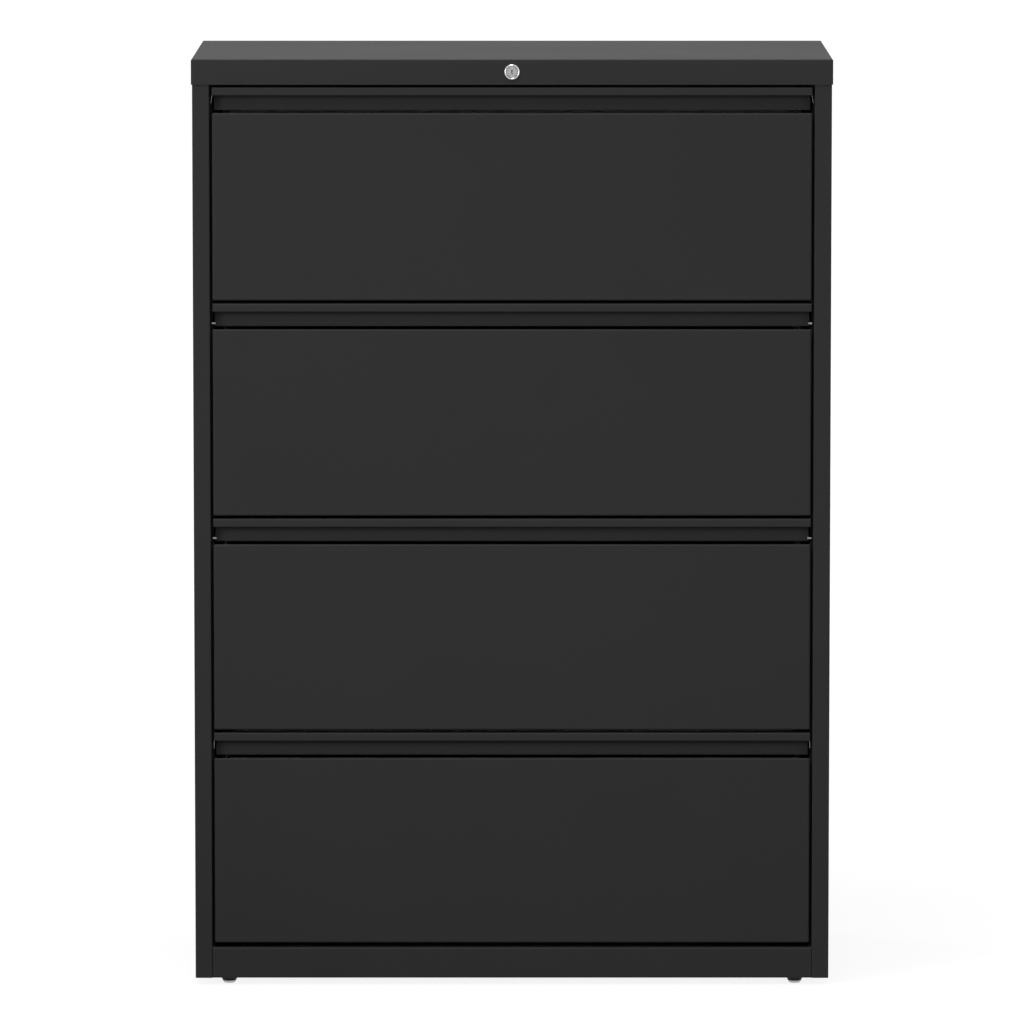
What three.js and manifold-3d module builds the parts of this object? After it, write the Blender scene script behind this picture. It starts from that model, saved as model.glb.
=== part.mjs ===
// Lateral filing cabinet: a folded sheet steel case, four full-width drawers on telescopic
// ball slides, a keyed lock that blocks the drawer interlock, and four levelling feet.
// Millimetres, +Z up, the front faces -Y. The origin is on the floor under the middle of the cabinet.

import * as THREE from 'three';
import { mergeVertices } from 'three/addons/utils/BufferGeometryUtils.js';
import { RoundedBoxGeometry } from 'three/addons/geometries/RoundedBoxGeometry.js';
import Module from 'manifold-3d';

const wasm = await Module();
wasm.setup();

// Overall sizes. The height is the sum of what stands on the floor.
const coverWidth = 914.4;
const coverDepth = 473;
const coverHeight = 36;
const drawerCount = 4;
const drawerHeight = 304.8;
const drawerGap = 4.4;
const coverGap = 3.6;
const plinthGap = 7;
const plinthHeight = 44.5;
const footHeight = 10;

// Sheet steel and the clearances between pieces
const coverSheet = 1.2;
const caseSheet = 1;
const drawerSheet = 0.9;
const railSheet = 1.2;
const barSheet = 2;
const bendInside = 0.8;
const seatGap = 0.3;
const arcSteps = 2;

// Case
const stileWidth = 24.4;
const stileReturn = 22;
const rearFlange = 20;
const headerRise = 2;
const headerLip = 12;
const plinthTopFlange = 20;
const plinthBottomFlange = 8;
const panWall = 30;
const postWidth = 36;
const slotHeight = 14;
const slotWidth = 4;
const slotSpread = 12;
const counterweightDepth = 150;
const counterweightHeight = 14;
const counterweightEndGap = 60;

// Levelling feet
const footInset = 24;
const footSideInset = 48;
const footTopRadius = 12.3;
const footBaseRadius = 8.3;
const footRim = 1.5;
const footSides = 16;
const stemRadius = 4;
const stemHeight = 34;
const bossRadius = 7.5;
const bossHeight = 8;
const threadGap = 0.2;

// Drawer front, pull and tray
const sideGap = 3.8;
const frontDepth = 21;
const lipHeight = 11.8;
const lipHem = 2.7;
const lipHemHeight = 7;
const recessHeight = 25.2;
const pullWallFoot = 14.5;
const pullWallRise = 2.3;
const pullFootHem = 2.6;
const trayRise = 14;
const trayHeight = 245;
const trayRearGap = 12;
const trayFrontDrop = 3;
const trayHem = 1.3;
const trayHemHeight = 7;
const hookSheet = 1.2;
const hookInnerLeg = 18;
const hookOuterLeg = 9;
const hangRailFlange = 7;
const hangRailRise = 5;
const hangRailGap = 12;
const folderSpan = 311;

// Telescopic slides
const railInset = 0.6;
const railPack = 12.7;
const railHeight = 45;
const railRise = 70;
const railFrontGap = 4;
const railRearGap = 8;
const railFlange = 9.6;
const midWebGap = 0.4;
const midFlange = 8.6;
const innerFlange = 8.3;
const ballGap = 3.7;
const ballSeat = 0.4;
const ballsPerRow = 2;
const ballPitch = 80;
const ballEndGap = 30;

// Lock and interlock
const lockDrop = 17.8;
const lockProud = 2.4;
const bezelRadius = 11;
const bezelEase = 1.4;
const barrelRadius = 9.4;
const barrelLength = 20;
const plugRadius = 7.95;
const plugSink = 1;
const plugGap = 0.15;
const keywayHeight = 7;
const keywayWidth = 1.8;
const keywayDepth = 9;
const camSheet = 3;
const camThrow = 9;
const camPinRadius = 2;
const camEdge = 2.5;
const yokePlay = 0.6;
const lockBarHeight = 24;
const lockBarTail = 30;
const lockBarShort = 5;
const interlockGap = 6;
const interlockInset = 2;
const interlockWidth = 16;
const fingerHeight = 16;
const fingerRise = 8;
const lockSides = 24;
const cutExtra = 1;

// Levels, from the floor up
const plinthTop = footHeight + plinthHeight;
const drawerPitch = drawerHeight + drawerGap;
const lowestDrawer = plinthTop + plinthGap;
const coverBottom = lowestDrawer + drawerCount * drawerPitch - drawerGap + coverGap;
const coverTop = coverBottom + coverHeight;
const caseTop = coverTop - coverSheet - seatGap;
const panBottom = footHeight + caseSheet + seatGap;
const panFloor = panBottom + caseSheet;
const headerBottom = coverBottom + headerRise;
const lockLevel = coverTop - lockDrop;
const drawerLevels = Array.from({ length: drawerCount }, (_, n) => lowestDrawer + n * drawerPitch).reverse();

// Depths, from the front back
const coverFront = (lockProud - coverDepth) / 2;
const coverBack = coverFront + coverDepth;
const faceFront = coverFront + coverSheet + seatGap;
const caseBack = coverBack - coverSheet - seatGap;
const backPanelFront = caseBack - 2 * caseSheet - seatGap;
const trayFront = faceFront + frontDepth + seatGap;
const trayBack = backPanelFront - trayRearGap;
const railFront = faceFront + stileReturn + railFrontGap;
const railBackEnd = backPanelFront - railRearGap;
const barFront = faceFront + stileReturn + interlockGap;
const barBack = barFront + barSheet;
const frontPostFront = barBack + seatGap;
const rearPostBack = railBackEnd;

// Half widths, from the middle out
const caseHalf = coverWidth / 2 - coverSheet - seatGap;
const stileInner = caseHalf - stileWidth;
const drawerHalf = stileInner - sideGap;
const railBack = drawerHalf - railInset;
const trayHalf = railBack - railPack - seatGap;
const postInner = railBack + seatGap;
const panHalf = caseHalf - caseSheet - seatGap;
const postOuter = panHalf - caseSheet - seatGap;
const interlockInner = stileInner + interlockInset;

// Levels inside one drawer, from the bottom edge of its front
const panelHeight = drawerHeight - lipHeight - recessHeight;
const trayTop = trayRise + trayHeight;
const railLevel = trayRise + railRise;

const finishes = {
  powderCoat: new THREE.MeshStandardMaterial({ color: 0x323132, roughness: 0.5, metalness: 0.2 }),
  zinc: new THREE.MeshStandardMaterial({ color: 0xb4b7ba, roughness: 0.35, metalness: 1 }),
  chrome: new THREE.MeshStandardMaterial({ color: 0xd9dadb, roughness: 0.15, metalness: 1 }),
  rawSteel: new THREE.MeshStandardMaterial({ color: 0x6f7276, roughness: 0.6, metalness: 1 }),
  blackPlastic: new THREE.MeshStandardMaterial({ color: 0x1c1c1d, roughness: 0.6, metalness: 0 }),
};

// A closed geometry as a solid that can be joined and cut
function toSolid(geometry) {
  const bare = geometry.index ? geometry.clone() : mergeVertices(geometry);
  bare.deleteAttribute('normal');
  bare.deleteAttribute('uv');
  const merged = mergeVertices(bare);
  return new wasm.Manifold(new wasm.Mesh({
    numProp: 3,
    vertProperties: new Float32Array(merged.attributes.position.array),
    triVerts: new Uint32Array(merged.index.array),
  }));
}

function toGeometry(solid) {
  const mesh = solid.getMesh();
  const geometry = new THREE.BufferGeometry();
  geometry.setAttribute('position', new THREE.BufferAttribute(new Float32Array(mesh.vertProperties), 3));
  geometry.setIndex(new THREE.BufferAttribute(new Uint32Array(mesh.triVerts), 1));
  geometry.computeVertexNormals();
  return geometry;
}

function join(geometries) {
  return toGeometry(geometries.map(toSolid).reduce((whole, piece) => whole.add(piece)));
}

function cut(geometry, cutters) {
  return toGeometry(cutters.map(toSolid).reduce((whole, cutter) => whole.subtract(cutter), toSolid(geometry)));
}

// A block between two corners
function block([x0, y0, z0], [x1, y1, z1]) {
  const geometry = new THREE.BoxGeometry(x1 - x0, y1 - y0, z1 - z0);
  return geometry.translate((x0 + x1) / 2, (y0 + y1) / 2, (z0 + z1) / 2);
}

// A strip of bent sheet seen end on. The points run along one face, the sheet lies on their left for
// a positive thickness and on their right for a negative one, and each corner is a bend.
function bentSheet(points, thickness, inside = bendInside) {
  const face = points.map(([u, v]) => new THREE.Vector2(u, v));
  const last = face.length - 1;
  const runs = face.slice(1).map((point, i) => point.clone().sub(face[i]).normalize());
  const leftOf = (run) => new THREE.Vector2(-run.y, run.x);
  const bends = runs.slice(1).map((next, i) => {
    const run = runs[i];
    const turn = Math.atan2(run.cross(next), run.dot(next));
    const hand = Math.sign(turn);
    const faceIsOutside = hand * thickness > 0;
    const faceRadius = faceIsOutside ? inside + Math.abs(thickness) : inside;
    const backRadius = faceIsOutside ? inside : inside + Math.abs(thickness);
    const setback = faceRadius * Math.tan(Math.abs(turn) / 2);
    const start = face[i + 1].clone().addScaledVector(run, -setback);
    const centre = start.clone().addScaledVector(leftOf(run), hand * faceRadius);
    const from = start.sub(centre).angle();
    return { centre, faceRadius, backRadius, from, to: from + turn, clockwise: hand < 0 };
  });
  const shape = new THREE.Shape();
  const endBack = face[last].clone().addScaledVector(leftOf(runs[last - 1]), thickness);
  const startBack = face[0].clone().addScaledVector(leftOf(runs[0]), thickness);
  shape.moveTo(startBack.x, startBack.y);
  shape.lineTo(face[0].x, face[0].y);
  for (const b of bends) shape.absarc(b.centre.x, b.centre.y, b.faceRadius, b.from, b.to, b.clockwise);
  shape.lineTo(face[last].x, face[last].y);
  shape.lineTo(endBack.x, endBack.y);
  for (const b of bends.toReversed()) {
    shape.absarc(b.centre.x, b.centre.y, b.backRadius, b.to, b.from, !b.clockwise);
  }
  return shape;
}

// A channel seen end on: a web, and two flanges of one length that reach to its open side
function channel(web, open, centre, half, sheet) {
  const points = [[open, centre + half], [web, centre + half], [web, centre - half], [open, centre - half]];
  return bentSheet(points, Math.sign(open - web) * sheet);
}

// A shape drawn in two axes, run along the third
function run(shape, length, u, v, w) {
  const geometry = new THREE.ExtrudeGeometry(shape, { depth: length, bevelEnabled: false, curveSegments: arcSteps });
  return geometry.applyMatrix4(new THREE.Matrix4().makeBasis(u, v, w));
}

const axisX = new THREE.Vector3(1, 0, 0);
const axisY = new THREE.Vector3(0, 1, 0);
const axisZ = new THREE.Vector3(0, 0, 1);

function alongX(shape, from, to) {
  return run(shape, to - from, axisY, axisZ, axisX).translate(from, 0, 0);
}

function alongY(shape, from, to) {
  return run(shape, to - from, axisX, axisZ, axisY.clone().negate()).translate(0, to, 0);
}

function alongZ(shape, from, to) {
  return run(shape, to - from, axisX, axisY, axisZ).translate(0, 0, from);
}

// A pan pressed from one sheet, with rounded bends: closed on top at the height, open below at zero
function pan(width, depth, height, sheet) {
  const outer = new RoundedBoxGeometry(width, depth, 2 * height, arcSteps, bendInside + sheet);
  const hollow = new RoundedBoxGeometry(
    width - 2 * sheet, depth - 2 * sheet, 2 * (height - sheet), arcSteps, bendInside);
  const below = block([-width, -depth, -2 * height], [width, depth, 0]);
  return cut(outer, [hollow, below]);
}

function cylinderAlongY(radius, from, to, x, z) {
  const geometry = new THREE.CylinderGeometry(radius, radius, to - from, lockSides);
  return geometry.translate(x, (from + to) / 2, z);
}

// Case

function topCover() {
  const shell = pan(coverWidth, coverDepth, coverHeight, coverSheet);
  shell.translate(0, coverFront + coverDepth / 2, coverBottom);
  return cut(shell, [lockHole()]);
}

// The hole for the lock barrel, through the cover's front and the header behind it
function lockHole() {
  return cylinderAlongY(barrelRadius + seatGap, coverFront - cutExtra, barFront, 0, lockLevel);
}

// One side of the case: the front stile folds back twice, the rear flange once
function sidePanel(side) {
  const points = [
    [side * stileInner, faceFront + stileReturn],
    [side * stileInner, faceFront],
    [side * caseHalf, faceFront],
    [side * caseHalf, caseBack],
    [side * (caseHalf - rearFlange), caseBack],
  ];
  return alongZ(bentSheet(points, side * caseSheet), footHeight, caseTop);
}

function backPanel() {
  return block([-panHalf, backPanelFront, panBottom], [panHalf, backPanelFront + caseSheet, caseTop]);
}

function footPlaces() {
  const across = caseHalf - footSideInset;
  const front = faceFront + footInset;
  const back = caseBack - footInset;
  return {
    front_left: [-across, front],
    front_right: [across, front],
    rear_left: [-across, back],
    rear_right: [across, back],
  };
}

// The floor of the case: a pan notched round the stiles, with a threaded boss over each foot
function basePan() {
  const front = faceFront + caseSheet + seatGap;
  const back = backPanelFront - seatGap;
  const floor = pan(2 * panHalf, back - front, panWall, caseSheet);
  floor.rotateX(Math.PI).translate(0, (front + back) / 2, panBottom + panWall);
  const stileBack = faceFront + stileReturn + seatGap;
  const notch = (side) => block(
    [Math.min(side * (stileInner - seatGap), side * caseHalf), front - cutExtra, panBottom - cutExtra],
    [Math.max(side * (stileInner - seatGap), side * caseHalf), stileBack, panBottom + panWall + cutExtra]);
  const places = Object.values(footPlaces());
  const bosses = places.map(([x, y]) => upright(bossRadius, panBottom, panFloor + bossHeight, x, y));
  const threads = places.map(([x, y]) => upright(
    stemRadius + threadGap, panBottom - cutExtra, panFloor + bossHeight + cutExtra, x, y));
  return cut(join([floor, ...bosses]), [notch(-1), notch(1), ...threads]);
}

function upright(radius, from, to, x, y) {
  const geometry = new THREE.CylinderGeometry(radius, radius, to - from, footSides);
  return geometry.rotateX(Math.PI / 2).translate(x, y, (from + to) / 2);
}

function plinthRail() {
  const points = [
    [faceFront + plinthTopFlange, plinthTop],
    [faceFront, plinthTop],
    [faceFront, footHeight],
    [faceFront + plinthBottomFlange, footHeight],
  ];
  const half = stileInner - seatGap;
  return alongX(bentSheet(points, caseSheet), -half, half);
}

// The rail under the cover's front: it carries the lock, and its trough guides the lock bar
function headerRail() {
  const lipBack = barBack + seatGap + caseSheet;
  const points = [
    [faceFront, caseTop],
    [faceFront, headerBottom],
    [lipBack, headerBottom],
    [lipBack, headerBottom + headerLip],
  ];
  const half = Math.min(stileInner, postInner) - seatGap;
  return cut(alongX(bentSheet(points, caseSheet), -half, half), [lockHole()]);
}

// An upright inside the case, with a pair of slots for the hooks of each slide
function post(side, front) {
  const bottom = panFloor + seatGap;
  const shape = channel(side * postInner, side * postOuter, front + postWidth / 2, postWidth / 2, caseSheet);
  const slots = drawerLevels.flatMap((level) => [-slotSpread, slotSpread].map((offset) => {
    const middle = level + railLevel + offset;
    const inner = side * (postInner - cutExtra);
    const outer = side * (postInner + caseSheet + cutExtra);
    const y = front + postWidth / 2;
    return block(
      [Math.min(inner, outer), y - slotWidth / 2, middle - slotHeight / 2],
      [Math.max(inner, outer), y + slotWidth / 2, middle + slotHeight / 2]);
  }));
  return cut(alongZ(shape, bottom, caseTop), slots);
}

function counterweight() {
  const half = caseHalf - counterweightEndGap;
  const back = caseBack - footInset - bossRadius - counterweightHeight;
  const bottom = panFloor + seatGap;
  return block([-half, back - counterweightDepth, bottom], [half, back, bottom + counterweightHeight]);
}

// A levelling foot: a tapered pad under the case and a threaded stem up through the base pan
function levellingFoot([x, y]) {
  const shoulder = panBottom - seatGap;
  const profile = [
    [0, 0],
    [footBaseRadius, 0],
    [footTopRadius, shoulder - footRim],
    [footTopRadius, shoulder],
    [stemRadius, shoulder],
    [stemRadius, shoulder + stemHeight],
    [0, shoulder + stemHeight],
  ].map(([r, z]) => new THREE.Vector2(r, z));
  return new THREE.LatheGeometry(profile, footSides).rotateX(Math.PI / 2).translate(x, y, 0);
}

// Drawer pieces, drawn with the bottom edge of the drawer front at level zero

function drawerFront() {
  const front = pan(2 * drawerHalf, panelHeight, frontDepth, drawerSheet);
  return front.rotateX(Math.PI / 2).translate(0, faceFront + frontDepth, panelHeight / 2);
}

// The full-width pull: a hemmed lip to hook the fingers behind, and the wall of the recess under it
function drawerPull() {
  const back = faceFront + frontDepth;
  const lipBottom = drawerHeight - lipHeight;
  const wallFoot = panelHeight + pullWallRise;
  const points = [
    [faceFront + lipHem, lipBottom + lipHemHeight],
    [faceFront + lipHem, lipBottom],
    [faceFront, lipBottom],
    [faceFront, drawerHeight],
    [back, drawerHeight],
    [faceFront + pullWallFoot, wallFoot],
    [faceFront + pullWallFoot - pullFootHem, wallFoot],
  ];
  const hemInside = lipHem / 2 - drawerSheet;
  return alongX(bentSheet(points, -drawerSheet, hemInside), -drawerHalf, drawerHalf);
}

// The drawer body: a deep pan with hemmed sides, and a front wall that backs the front and the pull
function drawerTray() {
  const depth = trayBack - trayFront;
  const body = pan(2 * trayHalf, depth, trayHeight, drawerSheet);
  body.rotateX(Math.PI).translate(0, trayFront + depth / 2, trayTop);
  const hemBottom = trayTop - trayHemHeight;
  const overlap = drawerSheet / 2;
  const frontWall = block(
    [-trayHalf, trayFront, trayTop - trayHemHeight],
    [trayHalf, trayFront + drawerSheet, drawerHeight - trayFrontDrop]);
  const sideHem = (side) => block(
    [Math.min(side * (trayHalf + trayHem), side * (trayHalf - overlap)), trayFront + trayHemHeight, hemBottom],
    [Math.max(side * (trayHalf + trayHem), side * (trayHalf - overlap)), trayBack - bendInside, trayTop]);
  const backHem = block(
    [-trayHalf, trayBack - overlap, hemBottom],
    [trayHalf, trayBack + trayHem, trayTop]);
  return join([body, frontWall, sideHem(-1), sideHem(1), backHem]);
}

// A frame for hanging folders: two rails across the drawer, on hooks over the sides of the tray
function hangFrame() {
  const frontRail = trayFront + drawerSheet + hangRailGap;
  const rearRail = frontRail + folderSpan;
  const innerFace = trayHalf - drawerSheet - seatGap;
  const outerFace = trayHalf + trayHem + seatGap;
  const bridge = trayTop + seatGap;
  const hook = (side) => bentSheet([
    [side * innerFace, trayTop - hookInnerLeg],
    [side * innerFace, bridge],
    [side * outerFace, bridge],
    [side * outerFace, trayTop - hookOuterLeg],
  ], side * hookSheet);
  const railEnd = innerFace - hookSheet / 2;
  const rail = (y, flangeWay) => alongX(bentSheet([
    [y, trayTop + hangRailRise],
    [y, trayTop - hookInnerLeg],
    [y + flangeWay * hangRailFlange, trayTop - hookInnerLeg],
  ], flangeWay * hookSheet), -railEnd, railEnd);
  const hookFront = frontRail - hangRailFlange;
  const hookBack = rearRail + hangRailFlange;
  return join([
    rail(frontRail, -1),
    rail(rearRail, 1),
    alongY(hook(-1), hookFront, hookBack),
    alongY(hook(1), hookFront, hookBack),
  ]);
}

// Telescopic slide, three members of one length nested from the case inwards

const outerHalf = railHeight / 2;
const midHalf = outerHalf - railSheet - ballGap;
const innerHalf = midHalf - railSheet - ballGap;
const midWeb = railBack - railSheet - midWebGap;
const innerWeb = railBack - railPack;

function outerRail(side) {
  const shape = channel(side * railBack, side * (railBack - railFlange), railLevel, outerHalf, railSheet);
  return alongY(shape, railFront, railBackEnd);
}

function innerRail(side) {
  const shape = channel(side * innerWeb, side * (innerWeb + innerFlange), railLevel, innerHalf, railSheet);
  return alongY(shape, railFront, railBackEnd);
}

// The middle member carries the balls: the outer rows stay in its rear half, the inner rows in its
// front half, where they bear at every extension.
function midRail(side) {
  const shape = channel(side * midWeb, side * (midWeb - midFlange), railLevel, midHalf, railSheet);
  const radius = (ballGap - seatGap + ballSeat) / 2;
  const x = side * (midWeb - midFlange / 2 - railSheet / 2);
  const outerRow = midHalf + radius - ballSeat;
  const innerRow = midHalf - railSheet - radius + ballSeat;
  const ball = (y, z) => new THREE.OctahedronGeometry(radius, 1).translate(x, y, railLevel + z);
  const balls = [];
  for (let n = 0; n < ballsPerRow; n += 1) {
    const fromEnd = ballEndGap + n * ballPitch;
    for (const way of [-1, 1]) {
      balls.push(ball(railBackEnd - fromEnd, way * outerRow));
      balls.push(ball(railFront + fromEnd, way * innerRow));
    }
  }
  return join([alongY(shape, railFront, railBackEnd), ...balls]);
}

// Lock and interlock

function lockHousing() {
  const bore = plugRadius + plugGap;
  const profile = [
    [bore, barrelLength],
    [bore, -lockProud],
    [bezelRadius - bezelEase, -lockProud],
    [bezelRadius, bezelEase - lockProud],
    [bezelRadius, -seatGap],
    [barrelRadius, -seatGap],
    [barrelRadius, barrelLength],
    [bore, barrelLength],
  ].map(([r, y]) => new THREE.Vector2(r, y));
  return new THREE.LatheGeometry(profile, lockSides).translate(0, coverFront, lockLevel);
}

// Where the cam's pin stands with the lock open: it swings a quarter turn to the other side
const pinSide = camThrow * Math.SQRT1_2;
const pinLevel = lockLevel - camThrow * Math.SQRT1_2;

function lockPlug() {
  const face = coverFront - lockProud + plugSink;
  const camFront = coverFront + barrelLength + seatGap;
  const plug = cylinderAlongY(plugRadius, face, camFront + camSheet, 0, lockLevel);
  const arm = new THREE.Shape();
  const armRadius = camPinRadius + camEdge;
  const swing = Math.atan2(pinLevel - lockLevel, pinSide);
  arm.absarc(0, lockLevel, plugRadius, swing + Math.PI / 2, swing - Math.PI / 2, false);
  arm.absarc(pinSide, pinLevel, armRadius, swing - Math.PI / 2, swing + Math.PI / 2, false);
  const pin = cylinderAlongY(camPinRadius, camFront + camSheet / 2, barBack, pinSide, pinLevel);
  const keyway = block(
    [-keywayWidth / 2, face - cutExtra, lockLevel - keywayHeight / 2],
    [keywayWidth / 2, face + keywayDepth, lockLevel + keywayHeight / 2]);
  return cut(join([plug, alongY(arm, camFront, camFront + camSheet), pin]), [keyway]);
}

// The lock bar slides along the header. The cam's pin works in its upright slot.
function lockBar() {
  const bottom = headerBottom + caseSheet + seatGap;
  const end = interlockInner - lockBarShort;
  const slot = block(
    [pinSide - camPinRadius - yokePlay, barFront - cutExtra, lockLevel - camThrow - camPinRadius - yokePlay],
    [pinSide + camPinRadius + yokePlay, barBack + cutExtra, pinLevel + camPinRadius + yokePlay]);
  const strip = block([-end, barFront, bottom], [lockBarTail, barBack, bottom + lockBarHeight]);
  return cut(strip, [slot]);
}

// The interlock bar stands behind the left stile. A finger over each slide reaches as far in as the
// web of the middle member, so that the slide runs out under it.
function interlockBar() {
  const bottom = panFloor + seatGap;
  const top = headerBottom + caseSheet;
  const inner = -interlockInner;
  const outer = inner - interlockWidth;
  const fingerTip = -midWeb - seatGap;
  const shape = new THREE.Shape();
  shape.moveTo(outer, top);
  shape.lineTo(outer, bottom);
  shape.lineTo(inner, bottom);
  for (const level of drawerLevels.toReversed()) {
    const fingerBottom = level + railLevel + outerHalf + fingerRise;
    shape.lineTo(inner, fingerBottom);
    shape.lineTo(fingerTip, fingerBottom);
    shape.lineTo(fingerTip, fingerBottom + fingerHeight);
    shape.lineTo(inner, fingerBottom + fingerHeight);
  }
  shape.lineTo(inner, top);
  return alongY(shape, barFront, barBack);
}

// Assembly

const cabinet = new THREE.Group();
cabinet.name = 'lateral_filing_cabinet';

function place(group, name, geometry, finish) {
  const mesh = new THREE.Mesh(geometry, finish);
  mesh.name = name;
  group.add(mesh);
}

const sides = { left: -1, right: 1 };
const rearPostFront = rearPostBack - postWidth;

place(cabinet, 'top_cover', topCover(), finishes.powderCoat);
place(cabinet, 'back_panel', backPanel(), finishes.powderCoat);
place(cabinet, 'base_pan', basePan(), finishes.powderCoat);
place(cabinet, 'plinth_rail', plinthRail(), finishes.powderCoat);
place(cabinet, 'header_rail', headerRail(), finishes.powderCoat);
place(cabinet, 'counterweight', counterweight(), finishes.rawSteel);
place(cabinet, 'lock_housing', lockHousing(), finishes.chrome);
place(cabinet, 'lock_plug', lockPlug(), finishes.chrome);
place(cabinet, 'lock_bar', lockBar(), finishes.zinc);
place(cabinet, 'interlock_bar', interlockBar(), finishes.powderCoat);
for (const [sideName, side] of Object.entries(sides)) {
  place(cabinet, `${sideName}_side_panel`, sidePanel(side), finishes.powderCoat);
  place(cabinet, `${sideName}_front_post`, post(side, frontPostFront), finishes.powderCoat);
  place(cabinet, `${sideName}_rear_post`, post(side, rearPostFront), finishes.powderCoat);
}
for (const [corner, spot] of Object.entries(footPlaces())) {
  place(cabinet, `${corner}_foot`, levellingFoot(spot), finishes.blackPlastic);
}

drawerLevels.forEach((level, n) => {
  const drawer = new THREE.Group();
  const prefix = `drawer_${n + 1}`;
  drawer.position.z = level;
  place(drawer, `${prefix}_front`, drawerFront(), finishes.powderCoat);
  place(drawer, `${prefix}_pull`, drawerPull(), finishes.powderCoat);
  place(drawer, `${prefix}_tray`, drawerTray(), finishes.powderCoat);
  place(drawer, `${prefix}_hang_frame`, hangFrame(), finishes.zinc);
  for (const [sideName, side] of Object.entries(sides)) {
    place(drawer, `${prefix}_${sideName}_outer_rail`, outerRail(side), finishes.zinc);
    place(drawer, `${prefix}_${sideName}_mid_rail`, midRail(side), finishes.zinc);
    place(drawer, `${prefix}_${sideName}_inner_rail`, innerRail(side), finishes.zinc);
  }
  cabinet.add(drawer);
});

export default cabinet;
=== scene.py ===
# %% [markdown]
# # A four-drawer lateral filing cabinet
#
# The cabinet is folded sheet steel under black powder coat. Its solids are packed as a fixed
# frame, at their real size and place. This lesson dresses them: thin sheets with round bends, a
# turned lock, levelling glides, rivets, and finishes that take the light as the real ones do.

# %% Load the frame
import math

import bmesh
import bpy
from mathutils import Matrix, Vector


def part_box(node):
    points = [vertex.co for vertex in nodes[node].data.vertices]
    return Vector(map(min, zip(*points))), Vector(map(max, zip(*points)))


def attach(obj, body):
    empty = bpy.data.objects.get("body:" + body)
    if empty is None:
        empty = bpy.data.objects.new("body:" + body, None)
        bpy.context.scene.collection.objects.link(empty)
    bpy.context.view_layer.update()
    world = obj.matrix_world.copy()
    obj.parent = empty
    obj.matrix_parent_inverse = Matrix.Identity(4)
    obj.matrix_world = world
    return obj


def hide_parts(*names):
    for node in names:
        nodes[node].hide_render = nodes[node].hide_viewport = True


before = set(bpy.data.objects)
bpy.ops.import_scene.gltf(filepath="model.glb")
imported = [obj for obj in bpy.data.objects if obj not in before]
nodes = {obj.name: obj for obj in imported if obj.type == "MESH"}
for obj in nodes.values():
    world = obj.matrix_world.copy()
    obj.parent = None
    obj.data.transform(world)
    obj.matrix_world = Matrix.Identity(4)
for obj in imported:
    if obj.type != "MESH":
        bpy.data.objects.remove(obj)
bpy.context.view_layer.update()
MM = 0.001

# %% [markdown]
# ## Picking edges and faces
#
# By hand, an artist clicks on the edge that becomes a bend. A script asks every edge or face
# whether it is the one, by its place or by the way it looks. The frame arrives selected all over,
# and an operator acts on all that is selected, so each new piece starts by letting go of
# everything else.

# %% Picking by place
LEFT, RIGHT = Vector((-1, 0, 0)), Vector((1, 0, 0))
FRONT, BACK = Vector((0, -1, 0)), Vector((0, 1, 0))
DOWN, UP = Vector((0, 0, -1)), Vector((0, 0, 1))
FACING = 0.99


def deselect_all():
    if bpy.context.mode != "OBJECT":
        bpy.ops.object.mode_set(mode="OBJECT")
    bpy.ops.object.select_all(action="DESELECT")


def pick(piece, kind, wanted):
    """In edit mode, selects the faces, edges or corners that the test accepts."""
    bpy.ops.mesh.select_mode(type=kind)
    bpy.ops.mesh.select_all(action="DESELECT")
    shape = bmesh.from_edit_mesh(piece.data)
    parts = {"FACE": shape.faces, "EDGE": shape.edges, "VERT": shape.verts}[kind]
    for part in parts:
        if wanted(part):
            part.select_set(True)
    bmesh.update_edit_mesh(piece.data)


def looks(direction):
    """A test for the faces that look in a direction."""
    return lambda face: face.normal.dot(direction) > FACING


def is_fold(edge):
    """A test for the edges with a face on both sides, so not on the open rim."""
    return len(edge.link_faces) == 2


# %% [markdown]
# ## Sheet steel
#
# Every panel is one sheet, bent on a brake press. It could be a box with bevels, but a box has no
# inside. Here the outer skin is drawn first, its folds are rounded, and Solidify gives it the
# gauge of the sheet to the inside. Face-weighted normals keep the wide faces flat beside the tight
# round of a bend.

# %% Thickness and shading
SMOOTH_UNDER = math.radians(35)
FACE_WEIGHT = 100


def shade_evenly(piece):
    """Smooth across the bends, flat on the wide faces."""
    bpy.ops.object.shade_smooth_by_angle(angle=SMOOTH_UNDER)
    even = piece.modifiers.new("even_light", "WEIGHTED_NORMAL")
    even.weight = FACE_WEIGHT
    even.keep_sharp = True
    bpy.ops.object.modifier_apply(modifier=even.name)


def thicken(piece, gauge):
    """The skin gets its gauge of steel on the inside."""
    bpy.ops.object.mode_set(mode="OBJECT")
    wall = piece.modifiers.new("gauge", "SOLIDIFY")
    wall.thickness = gauge
    wall.offset = -1
    wall.use_even_offset = True
    bpy.ops.object.modifier_apply(modifier=wall.name)
    shade_evenly(piece)


print("smooth under", round(math.degrees(SMOOTH_UNDER)), "degrees")

# %% A pan of sheet
BEND_STEPS = 6


def add_block(name, low, high):
    """A cube at its real size and place, with that place in its mesh."""
    deselect_all()
    bpy.ops.mesh.primitive_cube_add(size=1, location=(low + high) / 2, scale=high - low)
    piece = bpy.context.object
    piece.name = name
    bpy.ops.object.transform_apply(location=True, rotation=True, scale=True)
    return piece


def pan_skin(name, low, high, open_side, bend):
    """A block without its open side, with every fold rounded. It is left in edit mode."""
    piece = add_block(name, low, high)
    bpy.ops.object.mode_set(mode="EDIT")
    pick(piece, "FACE", looks(open_side))
    bpy.ops.mesh.delete(type="FACE")
    pick(piece, "EDGE", is_fold)
    bpy.ops.mesh.bevel(offset=bend, segments=BEND_STEPS, affect="EDGES")
    return piece


print("bends in", BEND_STEPS, "steps")

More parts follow.
